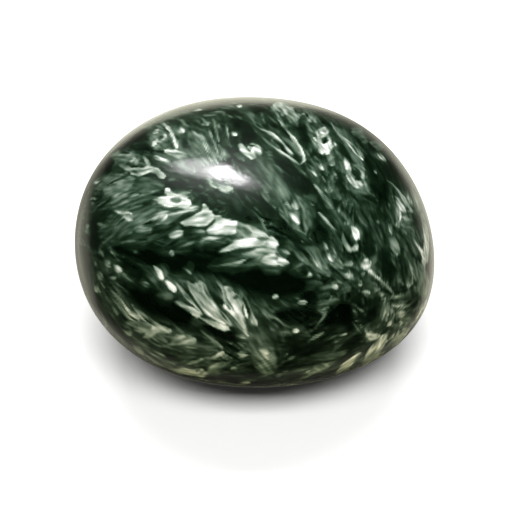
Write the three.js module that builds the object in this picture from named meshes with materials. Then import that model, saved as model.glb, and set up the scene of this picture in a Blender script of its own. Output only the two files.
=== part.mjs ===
// A polished seraphinite pebble: one solid, smooth, slightly irregular stone that rests on a small flat spot.
// Millimetres, +Z up. The origin is at the centre of the flat spot's plane, under the middle of the stone.
// +X runs along the stone's length, and the side seen in product views faces -Y.

import * as THREE from "three";
import { mergeVertices } from "three/addons/utils/BufferGeometryUtils.js";

// Driving dimensions, half the size of the plain rounded body before its swells, in millimetres
const HALF_LENGTH = 25.0;
const HALF_WIDTH = 23.2;
const HALF_HEIGHT = 18.0;

// 2 is an ellipsoid, and a higher power fills the corners out towards a box
const ROUNDNESS_POWER = 2.1;

// The whole body is rolled a little, so that its right end is the lower one
const ROLL_DEG = 2.4;

// How much of the underside is worn flat, measured up from its lowest point, in millimetres
const FLAT_DEPTH = 0.35;

// Broad, low swells that tumbling left on the stone. Azimuth is from +X towards +Y, elevation from level,
// rise is in millimetres, and spread is how far from its middle a swell falls to about a third.
const SWELLS = [
  { name: "upper right shoulder", azimuth: 37, elevation: 36, rise: 0.5, spread: 30 },
  { name: "lower left heel", azimuth: -147, elevation: -33, rise: 0.4, spread: 30 },
  { name: "lower right toe", azimuth: -17, elevation: -19, rise: 2.1, spread: 30 },
  { name: "back", azimuth: 112, elevation: -8, rise: 0.6, spread: 40 },
];

// Each of the 20 faces of an icosahedron is cut into this number, plus one, squared
const FACE_DETAIL = 15;

const STONE_COLOUR = 0x1c3426;
const STONE_ROUGHNESS = 0.1;

function directionOf(azimuth, elevation) {
  const a = THREE.MathUtils.degToRad(azimuth);
  const e = THREE.MathUtils.degToRad(elevation);
  return new THREE.Vector3(
    Math.cos(e) * Math.cos(a),
    Math.cos(e) * Math.sin(a),
    Math.sin(e),
  );
}

// The rounded body's radius along a unit direction
function bodyRadius(direction) {
  const share = (along, half) => Math.abs(along / half) ** ROUNDNESS_POWER;
  const sum =
    share(direction.x, HALF_LENGTH) +
    share(direction.y, HALF_WIDTH) +
    share(direction.z, HALF_HEIGHT);
  return sum ** (-1 / ROUNDNESS_POWER);
}

// What the swells add to the radius along a unit direction
function swellRise(direction) {
  return SWELLS.reduce((total, { azimuth, elevation, rise, spread }) => {
    const sharpness = 1 / (1 - Math.cos(THREE.MathUtils.degToRad(spread)));
    const nearness = direction.dot(directionOf(azimuth, elevation)) - 1;
    return total + rise * Math.exp(sharpness * nearness);
  }, 0);
}

// The closed body, rolled but not yet flattened underneath
function pebbleGeometry() {
  const sphere = new THREE.IcosahedronGeometry(1, FACE_DETAIL);
  sphere.deleteAttribute("normal");
  sphere.deleteAttribute("uv");
  const pebble = mergeVertices(sphere, 1e-5);
  const places = pebble.getAttribute("position");
  const direction = new THREE.Vector3();
  for (let i = 0; i < places.count; i++) {
    direction.fromBufferAttribute(places, i).normalize();
    direction.multiplyScalar(bodyRadius(direction) + swellRise(direction));
    places.setXYZ(i, ...direction);
  }
  return pebble.rotateY(THREE.MathUtils.degToRad(ROLL_DEG));
}

// Wears the underside flat and sets the flat spot on z = 0, under the middle of the stone's plan
function settle(pebble) {
  pebble.computeBoundingBox();
  const floor = pebble.boundingBox.min.z + FLAT_DEPTH;
  const middle = pebble.boundingBox.getCenter(new THREE.Vector3());
  const places = pebble.getAttribute("position");
  for (let i = 0; i < places.count; i++) {
    places.setZ(i, Math.max(places.getZ(i), floor));
  }
  pebble.translate(-middle.x, -middle.y, -floor);
  pebble.computeVertexNormals();
  return pebble;
}

function makeStone() {
  const material = new THREE.MeshStandardMaterial({
    color: STONE_COLOUR,
    roughness: STONE_ROUGHNESS,
    metalness: 0,
  });
  const stone = new THREE.Mesh(settle(pebbleGeometry()), material);
  stone.name = "stone";
  return stone;
}

const seraphinite = new THREE.Group();
seraphinite.add(makeStone());

export default seraphinite;
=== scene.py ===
"""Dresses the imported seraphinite: a polished dark green stone with silvery feather markings."""

import math

import bpy
import numpy as np
from mathutils import Matrix, Vector, noise
from mathutils.kdtree import KDTree


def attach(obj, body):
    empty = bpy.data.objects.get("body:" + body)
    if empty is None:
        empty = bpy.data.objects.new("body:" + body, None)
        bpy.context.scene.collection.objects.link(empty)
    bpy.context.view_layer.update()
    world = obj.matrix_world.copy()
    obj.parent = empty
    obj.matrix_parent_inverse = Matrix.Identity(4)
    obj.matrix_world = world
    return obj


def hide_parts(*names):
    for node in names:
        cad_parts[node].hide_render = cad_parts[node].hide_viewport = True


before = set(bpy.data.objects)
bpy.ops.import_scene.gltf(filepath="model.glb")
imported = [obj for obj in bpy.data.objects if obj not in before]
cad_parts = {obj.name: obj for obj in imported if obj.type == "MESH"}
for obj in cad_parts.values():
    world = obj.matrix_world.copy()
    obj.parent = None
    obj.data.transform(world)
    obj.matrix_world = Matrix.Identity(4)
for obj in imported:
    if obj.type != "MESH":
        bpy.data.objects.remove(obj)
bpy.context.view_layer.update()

MM = 0.001

# What the noise and the random draws start from, so that every run gives the same stone
SEED = 7

# The stone's own sizes, in millimetres, as its solid has them: half the plain body, what rounds it,
# its roll about the Y axis, and how much of its underside is worn flat
HALF_SIZES = np.array([25.0, 23.2, 18.0])
ROUNDNESS_POWER = 2.1
ROLL = math.radians(2.4)
FLAT_DEPTH = 0.35
ROLLED = np.array([
    [math.cos(ROLL), 0.0, math.sin(ROLL)],
    [0.0, 1.0, 0.0],
    [-math.sin(ROLL), 0.0, math.cos(ROLL)],
])

# Broad swells: azimuth and elevation of the middle in degrees, rise in millimetres, spread in degrees
SWELLS = {
    "upper right shoulder": (37, 36, 0.5, 30),
    "lower left heel": (-147, -33, 0.4, 30),
    "lower right toe": (-17, -19, 2.1, 30),
    "back": (112, -8, 0.6, 40),
}

# The mesh is six grids of nearly square cells, drawn together towards the side that faces the camera
CELLS_ALONG_GRID = 128
DRAW_TOGETHER = 1.4

# The camera of the reference photograph, which is 512 pixels square, in millimetres
PHOTO_PIXELS = 512
CAMERA_ELEVATION = math.radians(40)
CAMERA_DISTANCE = 204.0
CAMERA_SIDESTEP = 0.72
CAMERA_DROP = 2.44
CLIP_START = 10.0
LENS = 100.0
SENSOR = 36.0

# Where the picture's right, its far side and its top are
RIGHT = np.array([1.0, 0.0, 0.0])
FORWARD = np.array([0.0, math.cos(CAMERA_ELEVATION), -math.sin(CAMERA_ELEVATION)])
UP = np.array([0.0, math.sin(CAMERA_ELEVATION), math.cos(CAMERA_ELEVATION)])
PIXELS_PER_SLOPE = LENS / SENSOR * PHOTO_PIXELS

# Strokes of silver as they run in the photograph. Each one has its brightness, from 0 for the darkest green
# to 1 for pure silver, its greatest width in pixels, and the pixels that it runs through, faint end first.
LINES = {
    "upper left": [
        (0.50, 3, (111, 154), (129, 153)), (0.85, 3, (152, 124), (162, 123), (171, 132), (177, 147)),
        (0.60, 3, (139, 151), (146, 160), (151, 168)),
        (0.72, 5.5, (119, 165), (140, 172), (153, 170), (165, 178)),
        (0.64, 2.6, (164, 115), (180, 120), (198, 132), (208, 144), (215, 158), (219, 165)),
        (0.60, 2.4, (176, 118), (190, 128), (202, 142), (212, 162)),
        (0.50, 2.6, (199, 143), (207, 153), (214, 163)),
        (0.50, 2.2, (196, 110), (206, 124), (214, 142), (221, 160)),
        (0.55, 3, (212, 117), (216, 128), (219, 142)), (0.60, 4, (219, 144), (223, 153), (227, 161)),
        (0.45, 2.4, (222, 108), (226, 126), (231, 148)), (0.50, 3, (224, 105), (231, 106), (238, 108)),
        (0.60, 3, (184, 112), (192, 110), (201, 110)), (0.45, 4.5, (106, 185), (117, 178), (131, 177)),
        (0.45, 2, (235, 190), (243, 203), (256, 214), (267, 231)),
    ],
    "upper right": [
        (0.75, 2.6, (249, 116), (261, 128), (274, 136), (294, 155)),
        (0.72, 2.6, (265, 102), (275, 111), (283, 125), (294, 139), (304, 157), (301, 164)),
        (0.66, 2.4, (259, 134), (271, 145), (288, 157), (301, 165)),
        (0.62, 2.6, (310, 136), (315, 143), (320, 149)),
        (0.78, 3, (331, 122), (339, 134), (351, 146), (363, 160)),
        (0.42, 2.2, (351, 138), (358, 149), (364, 158)),
        (0.60, 2.8, (386, 180), (396, 188), (406, 202), (413, 213)),
        (0.50, 2.6, (263, 180), (281, 202), (293, 224), (307, 236)),
        (0.45, 3.2, (299, 199), (304, 207), (310, 225), (307, 236)),
        (0.80, 3, (333, 209), (322, 194), (314, 184)), (0.85, 3, (343, 201), (340, 206), (338, 212)),
        (0.70, 3, (337, 232), (328, 223), (318, 212)),
    ],
    "right edge": [
        (0.85, 3.6, (412, 237), (417, 246), (425, 257)), (0.50, 3, (404, 251), (411, 270), (412, 285)),
        (0.35, 3, (400, 226), (407, 234)), (0.65, 3, (309, 248), (315, 259), (322, 270)),
        (0.50, 2.5, (314, 248), (320, 258), (327, 269)), (0.70, 2.8, (395, 301), (390, 289), (369, 272)),
    ],
    "lower left plume": [
        (0.76, 3, (173, 279), (185, 295), (201, 312)),
        (0.75, 3, (185, 279), (194, 295), (209, 313), (226, 325)),
        (0.75, 3, (203, 284), (208, 295), (218, 310), (230, 323)),
        (0.70, 3, (212, 274), (222, 288), (226, 302), (230, 310)),
        (0.80, 3.0, (219, 304), (232, 318), (248, 337)), (0.85, 3.0, (222, 284), (226, 298), (234, 312)),
        (0.85, 3.0, (235, 294), (243, 303), (247, 318)), (0.40, 2.5, (165, 317), (184, 334), (192, 336)),
    ],
    "lower left rim": [
        (0.58, 4, (116, 295), (127, 313), (139, 321)),
        (0.60, 4, (133, 306), (146, 318), (157, 326), (169, 331)),
        (0.60, 3, (200, 330), (212, 340), (223, 350)), (0.60, 3, (208, 359), (217, 356), (224, 351)),
        (0.45, 3, (230, 383), (240, 384), (249, 382)),
    ],
    "fan below the middle": [
        (0.60, 2.6, (247, 300), (252, 313), (255, 324)), (0.55, 2.5, (250, 302), (260, 309), (271, 321)),
        (0.60, 2.5, (254, 304), (271, 314), (282, 323), (290, 328)),
        (0.55, 2.6, (308, 342), (315, 337), (324, 332)), (0.40, 2.2, (314, 329), (321, 321), (327, 313)),
        (0.30, 2.2, (352, 321), (356, 327), (360, 332)),
    ],
}

# Broader streaks, mostly short, which lie under the strokes above and are given in the same way
STREAKS = {
    "upper left": [
        (0.95, 6.5, (193, 159), (178, 154), (165, 150)), (0.85, 5.5, (173, 165), (163, 160), (154, 156)),
        (0.80, 4, (172, 136), (176, 142), (177, 149)), (0.80, 4.5, (176, 124), (180, 129), (184, 133)),
        (0.95, 5, (193, 138), (197, 141), (203, 145)), (0.75, 3.5, (111, 197), (116, 195), (123, 191)),
        (0.50, 4, (127, 198), (133, 196), (139, 194)), (0.70, 3.5, (93, 181), (98, 181), (104, 180)),
        (0.55, 3, (94, 188), (98, 188), (103, 187)), (0.80, 4, (112, 209), (119, 212), (126, 214)),
        (0.85, 6, (116, 226), (122, 220), (131, 213)), (0.70, 4, (232, 131), (236, 136)),
        (0.80, 6, (240, 145), (245, 150), (251, 157)), (0.70, 7, (262, 152), (256, 148), (248, 146)),
    ],
    "white plume": [
        (1.00, 9, (154, 199), (165, 201), (178, 204)), (1.00, 7, (167, 189), (177, 197), (191, 205)),
        (0.86, 5.5, (139, 226), (156, 216), (176, 211), (202, 207)),
        (0.85, 6, (157, 222), (163, 218), (167, 214)), (0.70, 5, (131, 231), (140, 230), (152, 229)),
        (0.40, 3.5, (120, 242), (132, 242), (147, 240)), (0.80, 5.5, (168, 236), (175, 234), (183, 231)),
        (0.40, 3, (183, 233), (195, 231), (206, 232)),
        (0.62, 4.5, (176, 249), (190, 243), (203, 239), (226, 237)),
        (0.92, 10, (231, 242), (244, 240), (258, 237)), (0.95, 4.5, (241, 226), (254, 231), (267, 236)),
        (0.80, 6, (219, 251), (235, 247), (257, 243)), (0.95, 9, (244, 242), (260, 241), (276, 241)),
        (0.75, 3.6, (208, 267), (228, 264), (244, 262), (257, 256)),
        (0.85, 5, (244, 262), (258, 257), (272, 251)), (0.95, 7, (257, 260), (270, 262), (288, 262)),
        (0.75, 4, (280, 248), (285, 251), (290, 254)), (0.90, 4, (206, 180), (211, 183), (217, 188)),
        (0.80, 5, (217, 187), (224, 190), (230, 193)),
    ],
    "upper right": [
        (0.60, 11, (297, 127), (291, 115), (281, 105)), (0.50, 5.5, (298, 108), (308, 112), (313, 123)),
        (0.85, 3.8, (317, 160), (320, 165), (323, 170)), (0.50, 6, (328, 154), (331, 159), (332, 166)),
        (0.90, 3.6, (305, 165), (310, 170), (316, 177)), (0.90, 6, (345, 157), (347, 165), (349, 174)),
        (0.80, 7, (352, 180), (357, 186), (361, 182)), (0.45, 5, (361, 168), (365, 172), (363, 180)),
        (0.80, 3.6, (378, 151), (381, 156), (385, 161)), (0.85, 5.5, (396, 197), (400, 203), (405, 210)),
        (0.80, 4.5, (273, 179), (277, 185), (282, 192)), (0.85, 6, (292, 197), (295, 203), (297, 210)),
        (0.90, 5, (287, 211), (293, 216), (300, 224)), (0.85, 4, (305, 197), (309, 200), (314, 205)),
        (0.70, 7, (327, 182), (328, 188), (329, 193)), (0.95, 6.5, (352, 226), (357, 231), (356, 240)),
        (0.60, 4.5, (390, 221), (390, 228), (392, 235)), (0.50, 8, (386, 240), (392, 246), (399, 254)),
        (0.75, 6, (415, 256), (419, 263), (425, 272)), (0.85, 6, (330, 251), (331, 256), (333, 262)),
        (0.60, 4.5, (323, 241), (325, 245), (327, 250)), (0.85, 9, (366, 256), (366, 262), (368, 269)),
        (0.85, 4.5, (377, 277), (372, 273), (367, 269)), (0.35, 4, (287, 271), (295, 267), (304, 263)),
    ],
    "lower left plume": [
        (1.00, 5.5, (155, 267), (159, 272), (163, 279)), (0.95, 6, (164, 280), (169, 284), (176, 290)),
        (0.55, 4, (139, 282), (144, 284), (150, 286)), (0.60, 5, (104, 257), (107, 262), (111, 267)),
        (0.70, 5, (110, 264), (116, 268), (122, 272)), (0.35, 4, (136, 287), (129, 280), (121, 273)),
        (0.45, 5, (108, 276), (113, 277), (117, 277)), (0.45, 5, (95, 272), (99, 275), (103, 280)),
        (0.60, 5, (97, 284), (97, 289), (98, 294)), (0.50, 5, (182, 268), (187, 271), (191, 274)),
        (0.35, 5, (156, 294), (164, 297), (173, 298)), (0.80, 4.5, (235, 335), (242, 336), (249, 338)),
        (0.80, 5, (251, 311), (253, 318), (256, 326)),
    ],
    "lower left rim": [
        (0.50, 5, (120, 326), (126, 331), (132, 335)), (0.40, 5, (112, 304), (114, 309), (116, 315)),
        (0.62, 5.5, (144, 338), (149, 331), (157, 329), (168, 329)),
        (0.60, 7, (168, 344), (180, 338), (195, 341)), (0.50, 6, (131, 344), (137, 349), (144, 353)),
        (0.45, 5, (176, 366), (190, 361), (204, 359)), (0.60, 5.5, (166, 368), (180, 371), (204, 373)),
        (0.45, 6, (205, 371), (215, 366), (226, 362)),
    ],
    "lower right rim": [
        (0.50, 7, (361, 366), (374, 353), (386, 337)), (0.50, 6, (390, 346), (398, 339), (409, 330)),
        (0.45, 6, (333, 373), (348, 366), (365, 353)), (0.60, 6, (339, 360), (322, 368), (305, 374)),
        (0.35, 4, (273, 378), (277, 376), (281, 374)), (0.35, 3, (281, 385), (285, 384), (290, 383)),
        (0.30, 5, (314, 358), (323, 355), (332, 353)), (0.75, 4, (364, 326), (367, 332), (371, 336)),
        (0.80, 6, (366, 335), (372, 337), (380, 337)), (0.40, 3.5, (379, 321), (390, 324), (401, 328)),
        (0.50, 4, (336, 338), (341, 336), (347, 334)),
    ],
}

# Bundles of many fine hairs side by side, which make the vanes of the feathers
BUNDLES = {
    "left": [
        (0.52, 30, (93, 212), (126, 195), (164, 190)), (0.58, 24, (96, 236), (138, 214), (190, 206)),
        (0.26, 14, (106, 244), (158, 234), (190, 226)), (0.50, 22, (112, 158), (132, 162), (154, 168)),
        (0.32, 16, (84, 254), (91, 292), (111, 324)), (0.28, 12, (102, 257), (118, 274), (140, 296)),
    ],
    "upper left": [
        (0.56, 26, (136, 122), (172, 132), (192, 152), (206, 166)),
        (0.46, 20, (168, 114), (205, 138), (226, 160)), (0.24, 16, (204, 112), (224, 130), (232, 154)),
        (0.30, 10, (262, 102), (272, 112), (284, 132)),
    ],
    "upper right": [
        (0.32, 22, (250, 110), (280, 138), (300, 160)), (0.32, 14, (280, 106), (302, 130), (311, 152)),
        (0.46, 26, (308, 114), (332, 139), (354, 170), (362, 192)),
        (0.22, 13, (352, 121), (385, 152), (413, 193)),
        (0.50, 18, (256, 156), (270, 177), (284, 198), (302, 226)),
        (0.40, 20, (248, 158), (270, 182), (290, 208)), (0.38, 24, (312, 174), (334, 208), (354, 238)),
        (0.36, 24, (362, 198), (376, 229), (386, 266)), (0.46, 20, (392, 190), (409, 221), (421, 254)),
        (0.40, 18, (388, 234), (400, 256), (410, 290)), (0.22, 20, (230, 192), (248, 216), (268, 234)),
    ],
    "right of the middle": [
        (0.48, 26, (282, 238), (304, 256), (330, 277)), (0.50, 22, (327, 256), (350, 276), (386, 297)),
        (0.42, 18, (300, 298), (330, 292), (352, 283)),
    ],
    "white plume": [
        (0.55, 16, (168, 202), (212, 218), (270, 250)), (0.45, 12, (176, 233), (225, 232), (274, 250)),
        (0.22, 6, (204, 263), (248, 262), (282, 262)),
    ],
    "lower left plume": [
        (0.30, 30, (136, 270), (172, 300), (218, 331)), (0.34, 28, (188, 264), (216, 298), (245, 336)),
        (0.36, 16, (224, 276), (238, 296), (247, 318)),
    ],
    "below the middle": [
        (0.34, 16, (254, 300), (280, 322), (312, 335)), (0.32, 12, (248, 304), (252, 318), (258, 332)),
        (0.36, 28, (246, 326), (266, 352), (274, 378)),
    ],
    "lower rim": [
        (0.52, 24, (98, 296), (138, 340), (190, 370)), (0.48, 22, (130, 322), (170, 346), (218, 352)),
        (0.28, 11, (214, 377), (262, 381), (304, 374)), (0.46, 18, (280, 378), (327, 369), (371, 350)),
        (0.54, 18, (350, 368), (390, 342), (420, 312)),
    ],
}

# Petals with bright edges and a dimmer, mottled inside, from the pointed tail to the other end
PETALS = {
    "upper right": [
        (0.85, 17, (319, 123), (324, 138), (323, 155)), (0.60, 17, (282, 184), (298, 208), (308, 234)),
        (0.55, 16, (262, 112), (284, 140), (303, 163)),
    ],
    "white plume": [
        (0.60, 12, (112, 240), (134, 224), (160, 214)),
    ],
}

# Broad paler grounds under the fibres, and along the lower rim paler bands of painted light bounced up from
# the floor: brightness, how soft the edge is in millimetres, and the outline
PALE_GROUNDS_AND_BOUNCE_LIGHT = {
    "upper left": [
        (0.24, 2.0, (104, 178), (110, 156), (132, 134), (158, 116), (190, 112), (214, 128), (226, 158),
         (196, 158), (172, 150), (160, 160), (140, 178), (122, 182)),
    ],
    "left": [
        (0.28, 2.0, (96, 200), (98, 184), (120, 176), (146, 180), (162, 190), (172, 208), (160, 224),
         (136, 238), (112, 236)),
    ],
    "white plume": [
        (0.55, 0.8, (176, 206), (200, 206), (214, 211), (236, 221), (256, 231), (270, 238), (278, 248),
         (285, 259), (274, 259), (260, 257), (248, 257), (250, 253), (232, 251), (222, 251), (228, 243),
         (212, 238), (206, 232), (196, 227), (182, 223), (192, 215)),
    ],
    "upper right": [
        (0.22, 2.0, (256, 160), (262, 120), (284, 106), (316, 114), (344, 134), (362, 164), (366, 196),
         (352, 222), (330, 236), (308, 232), (288, 206), (270, 184)),
    ],
    "right of the middle": [
        (0.30, 2.0, (292, 262), (304, 242), (330, 240), (362, 250), (392, 240), (412, 250), (416, 282),
         (398, 290), (384, 268), (366, 284), (342, 290), (318, 280)),
    ],
    # Painted light: paler bands along the lower rim stand in for the light that the floor bounces onto the
    # underside
    "lower rim": [
        (0.54, 1.0, (296, 383), (334, 363), (360, 351), (382, 337), (410, 314), (420, 300), (424, 311),
         (408, 340), (380, 364), (340, 381)),
        (0.54, 1.2, (84, 288), (98, 300), (120, 318), (136, 332), (128, 344), (108, 330), (92, 308)),
        (0.46, 1.0, (180, 382), (240, 374), (300, 377), (300, 388), (262, 391), (210, 389)),
        (0.38, 1.6, (190, 389), (250, 376), (318, 366), (352, 350), (384, 332), (408, 326), (424, 312),
         (426, 318), (408, 344), (378, 366), (340, 384)),
        (0.37, 1.6, (84, 262), (96, 296), (114, 302), (140, 324), (176, 332), (214, 344), (240, 360),
         (246, 388), (200, 384), (154, 366), (118, 338), (92, 300)),
    ],
}

# Bright patches: brightness, how soft the edge is in millimetres, and the outline, faint end first
PATCHES = {
    "upper left": [
        (0.42, 0.7, (149, 133), (155, 129), (163, 131), (167, 138), (166, 146), (159, 149), (152, 147),
         (149, 140)),
        (0.32, 0.6, (186, 121), (197, 128), (207, 140), (216, 160), (208, 160), (199, 150), (189, 140),
         (186, 130)),
        (0.94, 0.35, (238, 144), (242, 144), (246, 148), (250, 151), (253, 147), (257, 145), (261, 149),
         (261, 154), (256, 158), (252, 160), (246, 156), (241, 151)),
        (0.72, 0.4, (120, 165), (132, 168), (142, 169), (146, 166), (151, 167), (158, 170), (165, 176),
         (158, 174), (151, 171), (146, 173), (141, 175), (134, 173), (127, 170)),
        (0.42, 0.7, (109, 156), (118, 151), (130, 152), (139, 158), (137, 164), (126, 162), (114, 160)),
        (0.42, 0.8, (97, 184), (104, 177), (118, 174), (134, 177), (132, 186), (120, 194), (106, 194)),
        (0.30, 0.8, (134, 180), (146, 176), (158, 182), (164, 188), (150, 192), (138, 188)),
        (0.72, 0.4, (206, 178), (211, 179), (218, 183), (226, 186), (233, 187), (230, 191), (220, 189),
         (211, 184)),
    ],
    "left": [
        (0.34, 0.9, (117, 232), (128, 218), (144, 208), (156, 209), (148, 219), (134, 230), (120, 238)),
        (0.85, 0.3, (122, 215), (127, 212), (133, 215), (132, 220), (127, 220)),
    ],
    "white plume": [
        (1.00, 0.25, (153, 199), (160, 197), (167, 196), (165, 190), (168, 188), (173, 193), (180, 195),
         (187, 197), (191, 202), (189, 207), (181, 208), (172, 207), (163, 205), (157, 202)),
        (0.84, 0.3, (181, 222), (189, 217), (198, 213), (203, 208), (203, 204), (206, 205), (211, 211),
         (215, 216), (212, 221), (207, 226), (199, 227), (190, 226), (184, 225)),
        (1.00, 0.35, (206, 231), (211, 226), (216, 221), (213, 215), (219, 216), (228, 219), (238, 222),
         (244, 226), (239, 231), (230, 235), (218, 236), (209, 234)),
        (0.58, 0.5, (238, 222), (250, 225), (260, 231), (267, 236), (262, 240), (250, 240), (240, 238),
         (236, 231)),
        (0.74, 0.3, (249, 226), (257, 229), (263, 232), (268, 236), (263, 237), (256, 234)),
        (0.90, 0.35, (219, 252), (226, 247), (236, 241), (246, 237), (258, 238), (265, 243), (259, 247),
         (247, 247), (236, 248), (226, 252)),
        (0.92, 0.35, (266, 241), (271, 236), (275, 238), (279, 244), (276, 249), (271, 247), (267, 246)),
        (0.70, 0.45, (243, 254), (256, 249), (266, 248), (276, 251), (274, 257), (264, 260), (253, 257)),
        (1.00, 0.25, (276, 260), (281, 257), (286, 259), (289, 263), (284, 265), (278, 264)),
        (0.70, 0.35, (169, 235), (174, 231), (182, 230), (183, 233), (178, 237), (171, 238)),
    ],
    "upper right": [
        (0.28, 0.8, (230, 106), (246, 106), (254, 114), (262, 126), (254, 126), (244, 116)),
        (0.32, 0.8, (362, 124), (374, 132), (384, 146), (378, 150), (366, 138)),
        (0.34, 1.0, (254, 152), (266, 158), (280, 176), (290, 196), (284, 200), (270, 186), (258, 170)),
        (0.36, 0.8, (338, 128), (348, 132), (358, 150), (364, 168), (356, 164), (346, 148)),
        (0.62, 0.45, (298, 127), (291, 118), (281, 112), (272, 107), (276, 102), (285, 103), (292, 108),
         (296, 116)),
        (0.74, 0.35, (318, 137), (319, 130), (323, 127), (328, 130), (327, 136), (322, 138)),
        (0.82, 0.3, (315, 138), (320, 142), (325, 144), (330, 139), (331, 147), (323, 154), (318, 148)),
        (0.45, 0.4, (327, 163), (328, 156), (331, 154), (334, 158), (332, 164)),
        (0.82, 0.3, (345, 169), (349, 171), (352, 177), (357, 182), (361, 180), (362, 185), (357, 188),
         (351, 184), (347, 178)),
        (0.55, 0.35, (353, 165), (358, 164), (364, 168), (365, 176), (362, 180), (361, 172), (357, 168)),
        (0.95, 0.25, (351, 226), (355, 227), (359, 232), (358, 239), (354, 239), (352, 233)),
        (0.62, 0.35, (343, 234), (347, 243), (352, 247), (358, 244), (358, 249), (351, 252), (344, 246),
         (341, 238)),
        (0.85, 0.3, (395, 196), (399, 199), (403, 206), (407, 212), (402, 211), (397, 204)),
        (0.45, 0.6, (389, 238), (394, 237), (398, 245), (400, 254), (394, 251), (390, 245)),
        (0.90, 0.3, (361, 264), (364, 260), (366, 257), (369, 260), (371, 265), (369, 270), (364, 269)),
    ],
    "lower left plume": [
        (0.95, 0.25, (154, 266), (159, 269), (163, 277), (162, 281), (158, 277)),
        (1.00, 0.25, (164, 280), (170, 282), (176, 289), (174, 292), (168, 287)),
        (0.66, 0.35, (173, 302), (181, 301), (189, 306), (196, 309), (202, 314), (197, 318), (189, 312),
         (181, 307)),
        (0.70, 0.35, (187, 280), (193, 284), (200, 281), (206, 286), (209, 293), (214, 303), (222, 312),
         (232, 324), (226, 327), (217, 322), (208, 317), (199, 306), (192, 295)),
        (0.84, 0.3, (200, 318), (208, 319), (218, 323), (228, 327), (230, 331), (222, 330), (210, 325)),
        (0.88, 0.3, (248, 337), (239, 326), (231, 317), (222, 308), (226, 303), (224, 296), (223, 287),
         (229, 287), (233, 292), (238, 295), (241, 302), (243, 312), (245, 322)),
        (0.34, 0.7, (156, 295), (162, 292), (171, 294), (175, 298), (166, 300)),
    ],
    "lower left rim": [
        (0.74, 0.4, (116, 292), (122, 300), (130, 310), (140, 318), (137, 322), (128, 318), (121, 306)),
        (0.74, 0.4, (132, 305), (144, 314), (156, 323), (170, 331), (160, 331), (148, 323), (138, 315)),
        (0.70, 0.4, (143, 338), (147, 330), (156, 327), (168, 328), (172, 332), (160, 333), (151, 337)),
        (0.66, 0.5, (168, 345), (176, 338), (188, 336), (197, 340), (192, 344), (180, 344)),
        (0.46, 0.5, (133, 345), (140, 347), (144, 352), (139, 353)),
        (0.44, 0.5, (126, 322), (138, 320), (150, 324), (150, 331), (138, 333)),
        (0.62, 0.45, (166, 367), (178, 369), (192, 370), (203, 369), (204, 377), (190, 375), (176, 373)),
        (0.42, 0.6, (206, 373), (212, 366), (222, 362), (227, 364), (219, 370), (211, 376)),
    ],
    "below the middle": [
        (0.35, 1.0, (246, 330), (258, 326), (268, 336), (276, 356), (274, 372), (260, 372), (250, 352)),
        (0.60, 0.4, (259, 349), (264, 347), (269, 352), (268, 360), (263, 356)),
    ],
    "lower right rim": [
        (0.72, 0.35, (361, 366), (366, 354), (372, 345), (384, 334), (387, 338), (381, 352), (372, 362)),
        (0.70, 0.35, (334, 374), (341, 366), (350, 358), (361, 352), (357, 361), (347, 370)),
        (0.58, 0.5, (383, 354), (390, 344), (399, 335), (410, 327), (403, 340), (392, 350)),
        (0.50, 0.5, (314, 366), (322, 363), (330, 365), (320, 371), (309, 375)),
        (0.80, 0.3, (365, 334), (371, 332), (378, 336), (376, 340), (369, 339)),
        (0.28, 0.8, (310, 356), (322, 353), (336, 352), (346, 352), (338, 359), (322, 361)),
    ],
    "right of the middle": [
        (0.36, 0.5, (306, 247), (314, 246), (322, 257), (330, 270), (322, 273), (313, 261)),
    ],
    "right edge": [
        (0.46, 0.6, (411, 186), (416, 194), (421, 207), (418, 213), (413, 200)),
        (0.74, 0.4, (420, 212), (424, 216), (428, 230), (429, 248), (427, 264), (422, 262), (424, 246),
         (423, 230)),
        (0.48, 0.7, (418, 262), (426, 270), (429, 284), (425, 298), (418, 290)),
    ],
}

# Small bright spots, given as the strokes are
SPOTS = {
    "eyed marking": [
        (0.85, 5, (153, 133), (159, 131)), (0.75, 4.5, (163, 133), (166, 139)),
        (0.85, 5, (152, 143), (158, 142)), (0.75, 4.5, (159, 141), (164, 141)),
        (0.65, 4, (154, 147), (159, 146)), (0.60, 5, (129, 160), (135, 158)),
    ],
    "silver dots": [
        (0.85, 6, (317, 130), (326, 132)), (0.60, 4, (351, 132), (356, 134)),
        (0.45, 4, (374, 171), (377, 173)), (0.85, 5, (346, 220), (347, 225)),
        (0.45, 3, (376, 222), (380, 222)), (0.90, 5.5, (342, 265), (353, 263)),
        (0.75, 5, (307, 277), (312, 274)), (0.80, 5, (346, 278), (349, 274)),
        (0.70, 4, (361, 273), (365, 275)), (0.85, 5, (357, 282), (363, 284)),
        (0.95, 4.5, (332, 288), (339, 287)), (0.70, 5, (406, 284), (411, 285)),
        (0.80, 4.5, (272, 298), (279, 296)), (0.90, 5, (297, 303), (307, 302)),
        (0.75, 4, (292, 331), (299, 331)), (0.70, 4, (319, 312), (327, 310)),
        (0.80, 4.5, (362, 291), (370, 294)), (0.60, 4, (378, 293), (384, 295)),
        (0.60, 4, (387, 324), (392, 323)), (0.60, 4.5, (398, 328), (404, 326)),
        (0.62, 6, (199, 284), (202, 292)), (0.62, 5, (228, 286), (231, 292)),
        (0.65, 7, (259, 350), (268, 354)), (0.60, 4.5, (237, 354), (245, 353)),
        (0.55, 4.5, (231, 369), (238, 368)), (0.70, 7, (199, 374), (205, 371)),
        (0.90, 4, (236, 106), (242, 106)), (0.60, 4, (203, 121), (208, 126)),
        (0.50, 4, (133, 251), (138, 252)), (0.45, 5, (169, 255), (174, 252)),
        (0.85, 5, (125, 215), (130, 217)), (0.60, 4, (284, 203), (288, 204)),
        (0.50, 4, (120, 243), (124, 244)), (0.70, 5, (369, 336), (379, 337)),
    ],
}

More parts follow.
